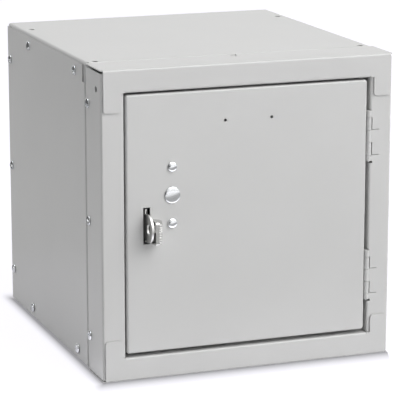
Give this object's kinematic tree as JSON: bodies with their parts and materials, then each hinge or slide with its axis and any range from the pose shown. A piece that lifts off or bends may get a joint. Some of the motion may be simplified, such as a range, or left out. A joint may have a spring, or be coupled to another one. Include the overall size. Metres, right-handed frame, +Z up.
{
  "type": "cube locker",
  "caption": "Cube-shaped steel locker with a folded front frame, a hinged door, five-knuckle hinges and a padlock hasp.",
  "frame": {"origin": "centre of the underside, on the bottom panel's lower face", "axes": "+Z up, -Y towards the front where the door is, +X to the right seen from the front"},
  "size_m": [0.3106, 0.3488, 0.3128],
  "materials": {
    "grey_enamel": "baked grey enamel, satin",
    "zinc_plate": "bright zinc-plated steel",
    "rubber": "matt black rubber"
  },
  "bodies": {
    "cabinet": {"top_rail": "grey_enamel", "bottom_rail": "grey_enamel", "left_stile": "grey_enamel", "right_stile": "grey_enamel", "left_side_panel": "grey_enamel", "right_side_panel": "grey_enamel", "top_panel": "grey_enamel", "bottom_panel": "grey_enamel", "back_panel": "grey_enamel", "ceiling_hook": "zinc_plate", "hasp_staple": "zinc_plate", "staple_rivet_upper": "zinc_plate", "staple_rivet_lower": "zinc_plate", "upper_door_bumper": "rubber", "lower_door_bumper": "rubber", "upper_hinge_frame_leaf": "grey_enamel", "lower_hinge_frame_leaf": "grey_enamel", "upper_hinge_pin": "grey_enamel", "lower_hinge_pin": "grey_enamel", "left_frame_screw_low": "zinc_plate", "left_back_screw_low": "zinc_plate", "left_frame_screw_middle": "zinc_plate", "left_back_screw_middle": "zinc_plate", "left_frame_screw_high": "zinc_plate", "left_back_screw_high": "zinc_plate", "left_top_screw_front": "zinc_plate", "left_bottom_screw_front": "zinc_plate", "left_top_screw_rear": "zinc_plate", "left_bottom_screw_rear": "zinc_plate", "right_frame_screw_low": "zinc_plate", "right_back_screw_low": "zinc_plate", "right_frame_screw_middle": "zinc_plate", "right_back_screw_middle": "zinc_plate", "right_frame_screw_high": "zinc_plate", "right_back_screw_high": "zinc_plate", "right_top_screw_front": "zinc_plate", "right_bottom_screw_front": "zinc_plate", "right_top_screw_rear": "zinc_plate", "right_bottom_screw_rear": "zinc_plate", "top_rail_screw": "zinc_plate"},
    "door": {"door": "grey_enamel", "door_pull": "zinc_plate", "pull_screw_upper": "zinc_plate", "pull_screw_lower": "zinc_plate", "lock_hole_plug": "zinc_plate", "upper_screw_hole_plug": "zinc_plate", "lower_screw_hole_plug": "zinc_plate", "upper_hinge_door_leaf": "grey_enamel", "lower_hinge_door_leaf": "grey_enamel"}
  },
  "joints": [
    {"name": "door_hinge", "type": "hinge", "parent": "cabinet", "child": "door", "pos_m": [0.1281, -0.1632, 0.155], "axis": [0, 0, 1], "range_deg": [0, 135]}
  ]
}
